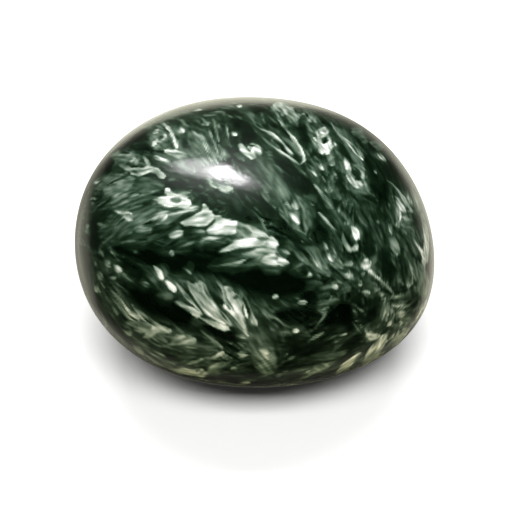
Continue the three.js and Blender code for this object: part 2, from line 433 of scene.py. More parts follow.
# Dark places that lie under the strokes: how far each one is covered, its greatest width, and its pixels
DEEP_PLACES = {
    "middle": [
        (0.95, 30, (222, 273), (262, 281), (306, 286)),
        (0.90, 20, (140, 252), (165, 262), (200, 264), (238, 274)), (0.80, 14, (300, 297), (318, 300)),
        (0.90, 11, (186, 249), (206, 250), (226, 257), (240, 260)),
        (0.85, 16, (274, 314), (298, 316), (322, 318)), (0.60, 12, (346, 292), (360, 300), (376, 302)),
    ],
    "above the white plume": [
        (0.35, 6, (198, 197), (214, 205), (232, 212), (254, 220), (270, 229)),
        (0.45, 10, (262, 208), (274, 218), (286, 230)),
    ],
    "lower left": [
        (0.95, 26, (128, 290), (158, 305), (192, 320)), (0.90, 16, (112, 248), (136, 252), (162, 260)),
        (0.80, 12, (116, 262), (134, 270), (148, 284)), (0.90, 11, (203, 325), (222, 334), (242, 339)),
    ],
    "lower right": [
        (0.95, 20, (322, 322), (336, 317), (352, 308)), (0.85, 13, (339, 304), (347, 316), (351, 330)),
        (0.90, 16, (368, 312), (384, 310), (400, 306)), (0.70, 10, (400, 308), (410, 305), (419, 298)),
        (0.70, 18, (284, 338), (310, 350), (335, 346)),
    ],
    "left": [
        (0.70, 10, (94, 216), (93, 232), (96, 252)), (0.80, 13, (98, 176), (106, 166), (115, 160)),
        (0.80, 13, (121, 150), (130, 140), (146, 130)), (0.60, 14, (138, 182), (150, 180), (164, 186)),
    ],
    "upper": [
        (0.75, 13, (232, 118), (242, 126), (252, 140)), (0.50, 12, (282, 160), (296, 175), (308, 190)),
        (0.40, 14, (243, 206), (252, 216), (258, 224)), (0.70, 10, (300, 118), (303, 135), (306, 150)),
    ],
    "right": [
        (0.75, 14, (368, 154), (378, 178), (384, 200)), (0.80, 16, (312, 218), (320, 232), (328, 248)),
        (0.65, 13, (378, 250), (386, 264), (393, 280)), (0.60, 14, (366, 232), (370, 246), (372, 256)),
        (0.40, 8, (399, 240), (404, 262), (404, 282)),
    ],
}

# Dark eyes in bright markings and gaps between them, painted last and given as the dark places are
SHADES = {
    "eyes": [
        (0.72, 6.5, (170, 199), (175, 200), (181, 201)), (0.90, 7, (353, 170), (356, 174), (359, 176)),
        (0.80, 4, (235, 295), (236, 299)), (0.70, 3.5, (160, 136), (163, 138)),
        (0.80, 6, (347, 229), (349, 236)), (0.70, 4.5, (322, 139), (328, 141)),
        (0.60, 3, (351, 242), (355, 243)), (0.60, 3, (212, 182), (219, 187)),
    ],
    "gaps in the white plume": [
        (0.80, 3.0, (160, 208), (170, 210), (184, 209)), (0.50, 2.2, (206, 229), (211, 223), (215, 218)),
        (0.80, 4.5, (174, 223), (184, 217), (196, 213)), (0.80, 3.0, (206, 235), (222, 237), (232, 237)),
        (0.50, 4.0, (243, 227), (248, 231), (252, 233)), (0.75, 3.0, (257, 238), (263, 239), (269, 238)),
        (0.60, 3.5, (230, 239), (238, 238), (244, 237)), (0.70, 4.0, (232, 253), (244, 251), (256, 249)),
        (0.60, 2.6, (258, 262), (262, 257), (267, 254)), (0.50, 2.6, (254, 252), (262, 253), (270, 255)),
    ],
    "gaps in the lower right rim": [
        (0.60, 2.4, (349, 370), (357, 361), (364, 350)), (0.60, 2.6, (374, 364), (385, 354), (393, 341)),
        (0.60, 2.6, (326, 371), (340, 362), (356, 354)),
    ],
    "gaps in the lower left plume": [
        (0.80, 2.6, (183, 283), (192, 298), (204, 314)), (0.75, 2.6, (213, 298), (222, 308), (234, 322)),
        (0.70, 2.6, (200, 315), (208, 317), (216, 322)), (0.70, 2.4, (209, 285), (216, 296), (221, 303)),
    ],
}


def direction_of(azimuth, elevation):
    a, e = math.radians(azimuth), math.radians(elevation)
    return np.array([math.cos(e) * math.cos(a), math.cos(e) * math.sin(a), math.sin(e)])


def lengths(vectors):
    return np.linalg.norm(vectors, axis=-1, keepdims=True)


def smooth_step(low, high, value):
    share = np.clip((value - low) / (high - low), 0, 1)
    return share * share * (3 - 2 * share)


def unit(vectors):
    return vectors / lengths(vectors)


# Shape

def grid_sphere(cells):
    """Directions and four-cornered faces of a sphere made of six grids of cells."""
    steps = np.tan(np.linspace(-math.pi / 4, math.pi / 4, cells + 1))
    across, up = (axis.ravel() for axis in np.meshgrid(steps, steps))
    rows, columns = np.divmod(np.arange(cells * cells), cells)
    first = rows * (cells + 1) + columns
    cell = np.stack([first, first + 1, first + cells + 2, first + cells + 1], axis=1)
    corners, faces = [], []
    for axis in range(3):
        for side in (1, -1):
            grid = np.empty((len(across), 3))
            grid[:, axis] = side
            grid[:, (axis + 1) % 3] = across
            grid[:, (axis + 2) % 3] = up
            faces.append((cell if side > 0 else cell[:, ::-1]) + len(corners) * len(across))
            corners.append(grid)
    corners = np.concatenate(corners)
    _, first_use, shared = np.unique(corners.round(6), axis=0, return_index=True, return_inverse=True)
    directions = corners[first_use]
    return directions / lengths(directions), shared.ravel()[np.concatenate(faces)]


def drawn_together(directions, pole, strength):
    """Slides the directions towards the pole, so that cells are smaller there and stay square."""
    height = (directions @ pole)[:, None]
    near, far = (1 + height) * strength ** 2, 1 - height
    flat = directions - height * pole
    return (flat * 2 * strength + pole * (near - far)) / (near + far)


def stone_points(directions):
    """Where the rounded, rolled body with its swells meets each direction, in millimetres."""
    radius = (np.abs(directions / HALF_SIZES) ** ROUNDNESS_POWER).sum(axis=1) ** (-1 / ROUNDNESS_POWER)
    for azimuth, elevation, rise, spread in SWELLS.values():
        nearness = directions @ direction_of(azimuth, elevation) - 1
        radius = radius + rise * np.exp(nearness / (1 - math.cos(math.radians(spread))))
    return (directions * radius[:, None]) @ ROLLED.T


def settled(points):
    """Wears the underside flat and stands the stone on z = 0. Also gives where the body's centre went."""
    low, high = points.min(axis=0), points.max(axis=0)
    floor = low[2] + FLAT_DEPTH
    worn = points.copy()
    worn[:, 2] = np.maximum(worn[:, 2], floor)
    move = np.array([-(low[0] + high[0]) / 2, -(low[1] + high[1]) / 2, -floor])
    return worn + move, move


def make_stone():
    directions, faces = grid_sphere(CELLS_ALONG_GRID)
    points, centre = settled(stone_points(drawn_together(directions, -FORWARD, DRAW_TOGETHER)))
    mesh = bpy.data.meshes.new("polished_stone")
    mesh.from_pydata((points * MM).tolist(), [], faces.tolist())
    mesh.shade_smooth()
    stone = bpy.data.objects.new("polished_stone", mesh)
    bpy.context.collection.objects.link(stone)
    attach(stone, "root")
    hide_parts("stone")
    return stone, points, centre


def on_stone(places):
    """Where spokes from the body's centre through some places meet the stone."""
    return stone_points(unit((places - centre_mm) @ ROLLED)) + centre_mm


def outward(places):
    """About which way the stone's surface faces at some places."""
    return unit((places - centre_mm) / HALF_SIZES ** 2)


def level(headings, places):
    """Lays headings down on the stone's surface at some places."""
    normals = outward(places)
    return unit(headings - normals * (headings * normals).sum(axis=-1, keepdims=True))


def walks(starts, headings, run, turn, steps):
    """Paths over the stone from many starts, each as long as its run and turning by turn in all."""
    places, paths = starts, [starts]
    run, turn = (np.broadcast_to(value, len(starts))[:, None] / steps for value in (run, turn))
    for _ in range(steps):
        headings = level(headings, places)
        headings = unit(headings + np.cross(outward(places), headings) * turn)
        places = on_stone(places + headings * run)
        paths.append(places)
    return np.stack(paths, axis=1)


# Camera

def camera_place(centre):
    return centre - FORWARD * CAMERA_DISTANCE + RIGHT * CAMERA_SIDESTEP - UP * CAMERA_DROP


def make_camera(place):
    camera_data = bpy.data.cameras.new("camera")
    camera_data.lens = LENS
    camera_data.sensor_width = SENSOR
    camera_data.clip_start = CLIP_START * MM
    camera = bpy.data.objects.new("camera", camera_data)
    turn = Matrix((RIGHT, UP, -FORWARD)).transposed().to_4x4()
    camera.matrix_world = Matrix.Translation(Vector(place * MM)) @ turn
    bpy.context.collection.objects.link(camera)
    bpy.context.scene.camera = camera


# Markings, painted on the mesh as one number for each of its corners

# What a pixel may cover at most, in millimetres, where the stone curves away
WIDEST_PIXEL = 0.42

# How far apart the points of a marking's curve are, in pixels
CURVE_STEP = 1.5


class PhotoRays:
    """Finds the places on the stone that pixels of the photograph show, in millimetres."""

    def __init__(self, stone, camera):
        self.stone = stone
        self.camera = camera

    def cast(self, pixel):
        across = (pixel[0] - PHOTO_PIXELS / 2) / PIXELS_PER_SLOPE
        up = (PHOTO_PIXELS / 2 - pixel[1]) / PIXELS_PER_SLOPE
        ray = Vector(FORWARD + across * RIGHT + up * UP).normalized()
        hit, place, _, _ = self.stone.ray_cast(Vector(self.camera * MM), ray)
        return np.array(place) / MM if hit else None

    def spine(self, pixels):
        places = [self.cast(pixel) for pixel in curve_through(pixels)]
        return np.array([place for place in places if place is not None])

    def width(self, pixels, width):
        """A stroke's width on the stone, where the stroke is half way along."""
        curve = curve_through(pixels)
        middle = len(curve) // 2
        heading = curve[middle] - curve[middle - 1]
        aside = np.array([-heading[1], heading[0]]) / np.linalg.norm(heading)
        sides = [self.cast(curve[middle] + aside * turn) for turn in (-1, 1)]
        if any(side is None for side in sides):
            return width * WIDEST_PIXEL
        return width * min(WIDEST_PIXEL, np.linalg.norm(sides[1] - sides[0]) / 2)


def curve_through(pixels):
    """Pixels about a step apart on a smooth curve through the given ones."""
    knots = np.array(pixels, float)
    padded = np.concatenate([[2 * knots[0] - knots[1]], knots, [2 * knots[-1] - knots[-2]]])
    curve = []
    for before, start, end, after in zip(padded, padded[1:], padded[2:], padded[3:]):
        count = max(2, int(np.linalg.norm(end - start) / CURVE_STEP))
        t = np.linspace(0, 1, count, endpoint=False)[:, None]
        curve.append(start + (end - before) * t / 2
                     + (before - 2.5 * start + 2 * end - after / 2) * t ** 2
                     + (3 * start - before - 3 * end + after) * t ** 3 / 2)
    return np.concatenate(curve + [knots[-1:]])


# The brightness of the bare ground, and how soft a stroke's edge is in millimetres
GROUND_TONE = 0.13
EDGE_SOFTNESS = 0.2

# How far every marking wavers in millimetres, and how often, in waves to a millimetre
WOBBLES = ((0.09, 0.5), (0.05, 1.9))

# How ragged edges are: a share of a stroke's width, and millimetres at the edge of a patch
STROKE_RAGGEDNESS = 0.5
PATCH_RAGGEDNESS = 0.2

# The waves to a millimetre of ragged edges and of the mottling inside, along and across a stroke or a patch
STROKE_EDGE_WAVES = 1.1
STROKE_MOTTLING = (0.5, 2.2)
PATCH_EDGE_WAVES = (0.7, 2.8)
PATCH_MOTTLING = (0.6, 2.0)

# How strong the mottling is, and how much darker than its tone it leaves a stroke and a patch
MOTTLE_GAIN = 1.8
STROKE_DARKENING = 0.25
PATCH_DARKENING = 0.2

# How far the noise moves on from each marking to the next, at its edge and inside it
EDGE_STEP = 5.3
INSIDE_STEP = 3.7

# The share of its length where a stroke is brightest, and those of its width where bright edges fade in
BRIGHT_FROM = 0.75
BRIGHT_EDGES = (0.35, 0.85)

# What half a stroke counts as where it is thinner, in millimetres
THINNEST = 0.05

# How far beyond its middle a patch reaches its brightness, as a share of its own reach
PATCH_BRIGHT_FROM = 0.3

# The dim glow around a bright marking: millimetres wider, a share of its brightness, and how it is painted
HALO_MARGIN = 1.6
HALO_TONE = 0.42
HALO_STYLE = dict(taper=0.4, faint=0.7, mottle=0.5, cover=0.55, soft=1.1)


def noise_inside(alongs, asides, waves, pattern):
    """Noise at pairs of distances, by the waves to a millimetre each way and the number of the pattern."""
    return np.array([noise.noise((a * waves[0], b * waves[1], pattern)) for a, b in zip(alongs, asides)])


class Painter:
    """Lays strokes of silver over each other on the stone."""

    def __init__(self, points):
        wobble = np.zeros_like(points)
        for size, fineness in WOBBLES:
            wobble += size * np.array([noise.noise_vector(point) for point in points * fineness])
        self.points = points + wobble
        self.silver = np.full(len(points), GROUND_TONE)
        self.strokes = 0
        self.tree = KDTree(len(points))
        for row, point in enumerate(self.points):
            self.tree.insert(point, row)
        self.tree.balance()

    def measured(self, spine, reach):
        """The corners near a spine, how far along it and beside it they are, and how long the spine is."""
        middle = (spine.min(axis=0) + spine.max(axis=0)) / 2
        reach = reach + lengths(spine - middle).max()
        near = np.array([row for _, row, _ in self.tree.find_range(middle, reach)], int)
        steps = np.diff(spine, axis=0)
        squares = (steps ** 2).sum(axis=1)
        offset = self.points[near][:, None] - spine[:-1]
        share = np.clip((offset * steps).sum(axis=2) / squares, 0, 1)
        gap = offset - share[..., None] * steps
        beside = (gap ** 2).sum(axis=2)
        best = beside.argmin(axis=1)
        row = np.arange(len(near))
        reached = np.concatenate([[0], np.cumsum(np.sqrt(squares))])
        along = reached[best] + share[row, best] * np.sqrt(squares[best])
        turn = np.cross(steps[best], gap[row, best]) @ middle
        return near, along, np.sqrt(beside[row, best]) * np.sign(turn), reached[-1]

    def stroke(self, spine, width, tone, taper=0.8, faint=0.4, inside=1.0, mottle=0.35, cover=1.0,
               soft=EDGE_SOFTNESS, widest=0.6):
        """Paints one stroke. Taper is 0 for square ends and 1 for pointed ones, faint is the tail's share of
        the brightness, inside is the middle's share where the edges are brighter, cover is how much of what
        lies below is hidden, and widest is how far along the stroke its widest place is."""
        if len(spine) < 2:
            return
        near, along, beside, whole = self.measured(spine, width / 2 + soft)
        share = along / whole
        swell = share ** (math.log(0.5) / math.log(widest))
        half = width / 2 * (4 * swell * (1 - swell)) ** taper
        if mottle:
            edge_pattern = self.strokes * EDGE_STEP
            ragged = [noise.noise((run * STROKE_EDGE_WAVES, edge_pattern, 0.5)) for run in along]
            half = half * (1 + STROKE_RAGGEDNESS * np.array(ragged))
        alpha = cover * smooth_step(-0.5, 0.5, (half - np.abs(beside)) / soft)
        brightness = faint + (1 - faint) * smooth_step(0, BRIGHT_FROM, share)
        edge = smooth_step(*BRIGHT_EDGES, np.abs(beside) / np.maximum(half, THINNEST))
        painted = tone * (brightness * (inside + (1 - inside) * edge))
        if mottle:
            self.strokes += 1
            fibres = noise_inside(along, beside, STROKE_MOTTLING, self.strokes * INSIDE_STEP)
            painted = painted * (1 + mottle * (fibres * MOTTLE_GAIN - STROKE_DARKENING))
        self.silver[near] += alpha * (painted - self.silver[near])

    def strokes_of(self, strokes, style):
        """Paints some strokes alike. Each has its brightness, its width and its spine."""
        for tone, width, spine in strokes:
            self.stroke(spine, width, tone, **style)

    def halo(self, spine, width, tone):
        """A dim, wide glow that a bright marking stands in, as if it went on below the surface."""
        self.stroke(spine, width + HALO_MARGIN, tone * HALO_TONE, **HALO_STYLE)

    def patch(self, outline, tone, soft, faint=0.7, mottle=0.35):
        """Paints a patch with a closed, free outline that starts at its faint end."""
        middle = outline[1:].mean(axis=0)
        near, _, beside, _ = self.measured(outline, soft)
        normal = outward(middle)
        side = unit(np.cross(normal, outline[0] - middle))
        axes = np.stack([np.cross(side, normal), side], axis=1)
        places, corners = (self.points[near] - middle) @ axes, (outline - middle) @ axes
        inside = np.zeros(len(near), bool)
        for start, end in zip(corners, corners[1:]):
            crosses = (start[1] > places[:, 1]) != (end[1] > places[:, 1])
            rise = end[1] - start[1] or 1e-9
            crossing = start[0] + (end[0] - start[0]) * (places[:, 1] - start[1]) / rise
            inside ^= crosses & (places[:, 0] < crossing)
        self.strokes += 1
        ragged = noise_inside(*places.T, PATCH_EDGE_WAVES, self.strokes * EDGE_STEP)
        depth = np.where(inside, np.abs(beside), -np.abs(beside)) + PATCH_RAGGEDNESS * ragged
        reach = np.abs(corners[:, 0]).max()
        brightness = faint + (1 - faint) * smooth_step(reach, -reach * PATCH_BRIGHT_FROM, places[:, 0])
        cloud = noise_inside(*places.T, PATCH_MOTTLING, self.strokes * INSIDE_STEP)
        brightness = brightness * (1 + mottle * (cloud * MOTTLE_GAIN - PATCH_DARKENING))
        alpha = smooth_step(-0.5, 0.5, depth / soft)
        self.silver[near] += alpha * (tone * brightness - self.silver[near])


def photo_outlines(groups, rays):
    """The patches of some groups on the stone: the brightness, the edge's softness, the outline."""
    return [
        (tone, soft, rays.spine(pixels + pixels[:1]))
        for patches in groups.values() for tone, soft, *pixels in patches
    ]


def photo_strokes(groups, rays):
    """The strokes of some groups on the stone: the first number, the width in millimetres, the spine."""
    return [
        (first, rays.width(pixels, width), rays.spine(pixels))
        for strokes in groups.values() for first, width, *pixels in strokes
    ]


# The feathers of the hidden sides: how many there would be all over, how many millimetres they are jostled,
# and how far towards the camera one may face, from 0 for sideways to 1 for straight at it
PLUMES = 60
GOLDEN_ANGLE = math.pi * (3 - math.sqrt(5))
PLUME_JOSTLE = 1.2
HIDDEN_FACING = 0.25

# A feather's spine: the least and greatest length, turn in radians, brightness and breadth, its steps, and
# how much its heading scatters
PLUME_LENGTH = (9, 17)
PLUME_TURN = (-0.7, 0.7)
PLUME_BRIGHTNESS = (0.65, 1.1)
PLUME_BREADTH = (0.8, 1.4)
PLUME_STEPS = 14
PLUME_SCATTER = 0.35

# The barbs beside it, with their slant away from it in radians, the share that is missing, and how long the
# first ones are as a share of the last ones
BARB_SLANT = (0.35, 0.75)
BARB_LENGTH = (3.0, 7.5)
BARB_TURN = (0.1, 0.5)
BARB_BRIGHTNESS = (0.45, 1.1)
BARB_BREADTH = (0.35, 1.3)
BARB_STEPS = 6
MISSING_BARBS = 0.2
FIRST_BARBS = 0.6


def plume_starts(random):
    """Places all over the stone, evenly spread on a spiral and then jostled."""
    heights = 1 - 2 * (np.arange(PLUMES) + 0.5) / PLUMES
    turns = np.arange(PLUMES) * GOLDEN_ANGLE
    flat = np.sqrt(1 - heights ** 2)
    spokes = np.stack([flat * np.cos(turns), flat * np.sin(turns), heights], axis=1) * HALF_SIZES
    return on_stone(spokes + centre_mm + random.normal(0, PLUME_JOSTLE, spokes.shape))


def plume_strokes(random):
    """Feathers for the sides that the photograph hides: barbs that run back from a spine on both sides."""
    strokes = []
    for place in plume_starts(random):
        if outward(place) @ -FORWARD > HIDDEN_FACING:
            continue
        heading = level(flow_far_away(place) + random.normal(0, PLUME_SCATTER, 3), place)
        run = random.uniform(*PLUME_LENGTH)
        brightness, breadth = random.uniform(*PLUME_BRIGHTNESS), random.uniform(*PLUME_BREADTH)
        spine = walks(place[None], heading[None], run, random.uniform(*PLUME_TURN), PLUME_STEPS)[0]
        for rank, knot in enumerate(spine[1:-1]):
            ahead = level(spine[rank + 2] - spine[rank], knot)
            growth = FIRST_BARBS + (1 - FIRST_BARBS) * rank / len(spine)
            for side in (-1, 1):
                if random.random() < MISSING_BARBS:
                    continue
                slant = side * random.uniform(*BARB_SLANT)
                back = -ahead * math.cos(slant) + np.cross(outward(knot), ahead) * math.sin(slant)
                reach = random.uniform(*BARB_LENGTH) * growth
                turn = -side * random.uniform(*BARB_TURN)
                barb = walks(knot[None], back[None], reach, turn, BARB_STEPS)[0]
                tone = brightness * random.uniform(*BARB_BRIGHTNESS)
                strokes.append((tone, breadth * random.uniform(*BARB_BREADTH), barb[::-1]))
    return strokes


# The drift of the fibres where no stroke shows it: its waves to a millimetre, and its pull around the stone
DRIFT_WAVES = 0.045
DRIFT_AROUND = 0.25


def flow_far_away(place):
    """A broad drift of the fibres where no stroke of the photograph shows it."""
    return np.array(noise.noise_vector(place * DRIFT_WAVES)) + DRIFT_AROUND * np.cross(outward(place), UP)


class Flow:
    """Which way fibres run at a place: as the strokes near it do."""

    PLACES_AT_ONCE = 500

    # Square millimetres within which neighbouring strokes blend
    BLEND = 1.5

    def __init__(self, strokes):
        self.middles = np.array([spine[len(spine) // 2] for _, _, spine in strokes])
        self.headings = unit(np.array([spine[-1] - spine[0] for _, _, spine in strokes]))

    def at(self, places):
        parts = np.array_split(places, len(places) // self.PLACES_AT_ONCE + 1)
        return np.concatenate([self.near(part) for part in parts])

    def near(self, places):
        gaps = ((places[:, None] - self.middles) ** 2).sum(axis=2)
        nearness = 1 / (gaps + self.BLEND) ** 2
        signs = np.sign(self.headings[gaps.argmin(axis=1)] @ self.headings.T)
        return unit((signs * nearness) @ self.headings)


# Layers of fine fibres, from the bottom up. Runs, widths and tones are each a least and a greatest value, in
# millimetres where they are sizes, and scatter is how much the headings stray from the flow.
FIBRES = {
    "pale": dict(count=5200, runs=(1.5, 5.0), widths=(0.25, 0.8), tones=(0.03, 0.60), scatter=0.16,
                 taper=0.6, faint=0.5, mottle=0, cover=0.7),
    "bright": dict(count=1100, runs=(2.5, 6.5), widths=(0.35, 1.1), tones=(0.20, 0.75), scatter=0.12,
                   taper=0.6, faint=0.4, inside=0.5, mottle=0.7, cover=0.8),
    "dark": dict(count=2600, runs=(1.5, 4.5), widths=(0.2, 0.6), tones=(0.0, 0.12), scatter=0.14,
                 taper=0.6, faint=1.0, mottle=0, cover=0.8),
}
FIBRE_TURN = 0.35
FIBRE_STEPS_ALONG = 6

# Most fibres are dim, by this beta distribution, and brighter in clouds: waves to a millimetre, strength
FIBRE_TONES = (1.4, 2.6)
CLOUD_WAVES = 0.2
CLOUD_STRENGTH = 0.9


def paint_fibres(painter, flow, random, count, runs, widths, tones, scatter, **style):
    """Scatters strokes that follow the flow."""
    starts = painter.points[random.integers(0, len(painter.points), count)]
    headings = flow.at(starts) + random.normal(0, scatter, starts.shape)
    runs, turns = random.uniform(*runs, count), random.normal(0, FIBRE_TURN, count)
    spines = walks(starts, headings, runs, turns, FIBRE_STEPS_ALONG)
    cloud = np.array([noise.noise(start * CLOUD_WAVES) for start in starts])
    shares = random.beta(*FIBRE_TONES, count) * (1 + CLOUD_STRENGTH * cloud)
    tones = tones[0] + (tones[1] - tones[0]) * shares
    painter.strokes_of(zip(tones, random.uniform(*widths, count), spines), style)


# The hairs of a bundle: how many there are to a millimetre of its width where its spine has so many points,
# a hair's fewest points, the last share of the spine where one starts, and the shares that it may run
HAIRS_PER_MM = 7
SPINE_POINTS = 30
HAIR_POINTS = 3
HAIR_START = 0.7
HAIR_RUN = (0.2, 0.5)

# How far hairs lie and slant aside, as shares of the bundle's width, and their width and brightness
HAIR_ASIDE = 0.3
HAIR_SLANT = 0.12
HAIR_WIDTH = (0.4, 1.3)
HAIR_BRIGHTNESS = (0.4, 1.1)
BRIGHT_HAIRS = 0.72
DARK_HAIR_TONE = 0.05
HAIR_STYLE = dict(taper=0.55, mottle=0.6, cover=0.6, soft=0.3)
BRIGHT_HAIR_FAINT = 0.5


def paint_bundles(painter, bundles, random):
    """Each bundle is a row of hairs that start and end at random, some of them dark."""
    for tone, width, spine in bundles:
        points = len(spine)
        if points <= HAIR_POINTS:
            continue
        aside = unit(np.cross(outward(spine[1:]), np.diff(spine, axis=0)))
        aside = np.concatenate([aside[:1], aside])
        for _ in range(int(HAIRS_PER_MM * width * points / SPINE_POINTS)):
            start = random.uniform(0, HAIR_START)
            end = min(1.0, start + random.uniform(*HAIR_RUN))
            first = int(start * points)
            part = slice(first, max(int(end * points), first + HAIR_POINTS))
            shift = random.normal(0, HAIR_ASIDE) * width
            shift = shift + random.normal(0, HAIR_SLANT) * width * np.linspace(-1, 1, points)
            hair = on_stone((spine + aside * shift[:, None])[part])
            bright = random.random() < BRIGHT_HAIRS
            breadth = random.uniform(*HAIR_WIDTH)
            hair_tone = tone * random.uniform(*HAIR_BRIGHTNESS) if bright else DARK_HAIR_TONE
            faint = BRIGHT_HAIR_FAINT if bright else 1.0
            painter.stroke(hair, breadth, hair_tone, faint=faint, **HAIR_STYLE)


# How the strokes of each kind are painted
STYLES = {
    "plumes": dict(taper=0.7, faint=0.3, inside=0.7, mottle=0.6, soft=0.25),
    "petals": dict(taper=0.6, faint=0.4, inside=0.5, mottle=1.0, cover=0.8, soft=0.4),
    "streaks": dict(taper=0.6, faint=0.3, mottle=0.7, soft=0.28),
    "lines": dict(taper=0.35, faint=0.5, mottle=0.6),
    "spots": dict(taper=0.6, faint=0.8, mottle=0.6, cover=0.9, soft=0.28),
    "deep places": dict(tone=0.0, taper=0.4, faint=1.0, mottle=0),
    "shades": dict(tone=0.12, taper=0.5, faint=1.0, widest=0.5, soft=0.35),
}

# How soft a deep place is, as a share of its width
DEEP_SOFTNESS = 0.4


def paint_markings(painter, rays):
    """Paints everything from the bottom up, and gives the flow of the fibres at each corner."""
    random = np.random.default_rng(SEED)
    # Paler grounds, and along the lower rim painted bounce light from the floor
    for tone, soft, outline in photo_outlines(PALE_GROUNDS_AND_BOUNCE_LIGHT, rays):
        painter.patch(outline, tone, soft, faint=1.0)
    petals, streaks, lines, spots = (
        photo_strokes(groups, rays) for groups in (PETALS, STREAKS, LINES, SPOTS))
    plumes = plume_strokes(random)
    flow = Flow(petals + streaks + lines + plumes)
    for layer in FIBRES.values():
        paint_fibres(painter, flow, random, **layer)
    paint_bundles(painter, photo_strokes(BUNDLES, rays), random)
    for cover, width, spine in photo_strokes(DEEP_PLACES, rays):
        painter.stroke(spine, width, cover=cover, soft=width * DEEP_SOFTNESS, **STYLES["deep places"])
    for tone, width, spine in plumes[::2] + petals + streaks:
        painter.halo(spine, width, tone)
    painter.strokes_of(plumes, STYLES["plumes"])
    painter.strokes_of(petals, STYLES["petals"])
    painter.strokes_of(streaks, STYLES["streaks"])
    for tone, soft, outline in photo_outlines(PATCHES, rays):
        painter.patch(outline, tone, soft)
    painter.strokes_of(lines, STYLES["lines"])
    painter.strokes_of(spots, STYLES["spots"])
    for cover, width, spine in photo_strokes(SHADES, rays):
        painter.stroke(spine, width, cover=cover, **STYLES["shades"])
    return flow.at(painter.points)


# Nodes

class Tree:
    """A tree of nodes. What goes into a node's input is a plain value or another node's output."""

    def __init__(self, tree):
        self.nodes, self.links = tree.nodes, tree.links

    def feed(self, socket, value):
        if isinstance(value, bpy.types.NodeSocket):
            self.links.new(value, socket)
        else:
            socket.default_value = value

    def add(self, kind, inputs, output, **settings):
        """Adds a node, feeds its inputs, which are given by name or number, and returns one output."""
        node = self.nodes.new("ShaderNode" + kind)
        for name, value in settings.items():
            setattr(node, name, value)
        for name, value in inputs.items():
            self.feed(node.inputs[name], value)
        return node.outputs[output]

    def attribute(self, name, output):
        return self.add("Attribute", {}, output, attribute_name=name)

    def math(self, operation, *values):
        return self.add("Math", dict(enumerate(values)), 0, operation=operation)

    def total(self, values):
        result = values[0]
        for value in values[1:]:
            result = self.math("ADD", result, value)
        return result

    def noise(self, place, fineness, detail):
        return self.add("TexNoise", {"Vector": place, "Scale": fineness, "Detail": detail}, "Fac")

    def ramp(self, value, stops):
        """Turns a value into a colour by stops, each a position and a colour."""
        ramp = self.nodes.new("ShaderNodeValToRGB")
        elements = ramp.color_ramp.elements
        while len(elements) < len(stops):
            elements.new(0.5)
        for element, (position, colour) in zip(elements, stops):
            element.position = position
            element.color = (*colour, 1)
        self.feed(ramp.inputs["Fac"], value)
        return ramp.outputs["Color"]

    def dress(self, values):
        """Feeds the surface's own inputs, by name."""
        surface = self.nodes["Principled BSDF"]
        for name, value in values.items():
            self.feed(surface.inputs[name], value)


def new_material(name):
    material = bpy.data.materials.new(name)
    material.use_nodes = True
    return material, Tree(material.node_tree)


# Material

# How silvery a marking is, and the stone's colour there
COLOURS = (
    (0.00, (0.0002, 0.0010, 0.0003)),
    (0.10, (0.0026, 0.0074, 0.0031)),
    (0.20, (0.0108, 0.0220, 0.0124)),
    (0.35, (0.0425, 0.0650, 0.0455)),
    (0.50, (0.0965, 0.1245, 0.0970)),
    (0.70, (0.1950, 0.2220, 0.1880)),
    (0.85, (0.2870, 0.3085, 0.2790)),
    (1.00, (0.4420, 0.4600, 0.4300)),
)

# The stone under its clear polish, and the polish
STONE_SURFACE = {"Roughness": 0.4, "Specular IOR Level": 0.15, "Coat Weight": 1.0, "Coat Roughness": 0.04}

# The silky grain: how many steps its fibres are drawn out by, their length in millimetres, fibres to a metre
# across, their detail, and how noise between two values becomes a share of the brightness between two others
GRAIN_STEPS = 7
GRAIN_LENGTH = 1.6
GRAIN_FINENESS = 2200.0
GRAIN_DETAIL = 1.5
GRAIN_NOISE = (0.38, 0.62)
GRAIN_SHARES = (0.80, 1.20)

# The waves that the polish left: their depth in millimetres, waves to a metre, and detail
POLISH_WAVES = 0.12
POLISH_FINENESS = 130.0
POLISH_DETAIL = 4.0


def silky_grain(tree, place):
    """Fine noise drawn out along the flow of the fibres, by adding it up at several steps that way."""
    flow = tree.attribute("fibre_flow", "Vector")
    grains = []
    for step in range(GRAIN_STEPS):
        reach = (step / (GRAIN_STEPS - 1) - 0.5) * GRAIN_LENGTH * MM
        inputs = {0: flow, 1: (reach, reach, reach), 2: place}
        shifted = tree.add("VectorMath", inputs, "Vector", operation="MULTIPLY_ADD")
        grains.append(tree.noise(shifted, GRAIN_FINENESS, GRAIN_DETAIL))
    low, high = (share * GRAIN_STEPS for share in GRAIN_NOISE)
    limits = {"From Min": low, "From Max": high, "To Min": GRAIN_SHARES[0], "To Max": GRAIN_SHARES[1]}
    return tree.add("MapRange", {"Value": tree.total(grains), **limits}, "Result")


def stone_material():
    material, tree = new_material("polished_seraphinite")
    place = tree.add("TexCoord", {}, "Object")
    silver = tree.math("MULTIPLY", tree.attribute("silver", "Fac"), silky_grain(tree, place))
    waves = tree.noise(place, POLISH_FINENESS, POLISH_DETAIL)
    polish = tree.add("Bump", {"Distance": POLISH_WAVES * MM, "Height": waves}, "Normal")
    tree.dress({**STONE_SURFACE, "Base Color": tree.ramp(silver, COLOURS), "Coat Normal": polish})
    return material


# Studio

# The pale floor: its radius in millimetres, its corners, and its colours as it is seen and as it lights
FLOOR_RADIUS = 95.0
FLOOR_CORNERS = 96
FLOOR_SURFACE = {"Roughness": 0.9, "Specular IOR Level": 0.0}
FLOOR_SEEN = (0.50, 0.50, 0.495, 1)
FLOOR_BOUNCE = (1.0, 0.88, 0.50, 1)

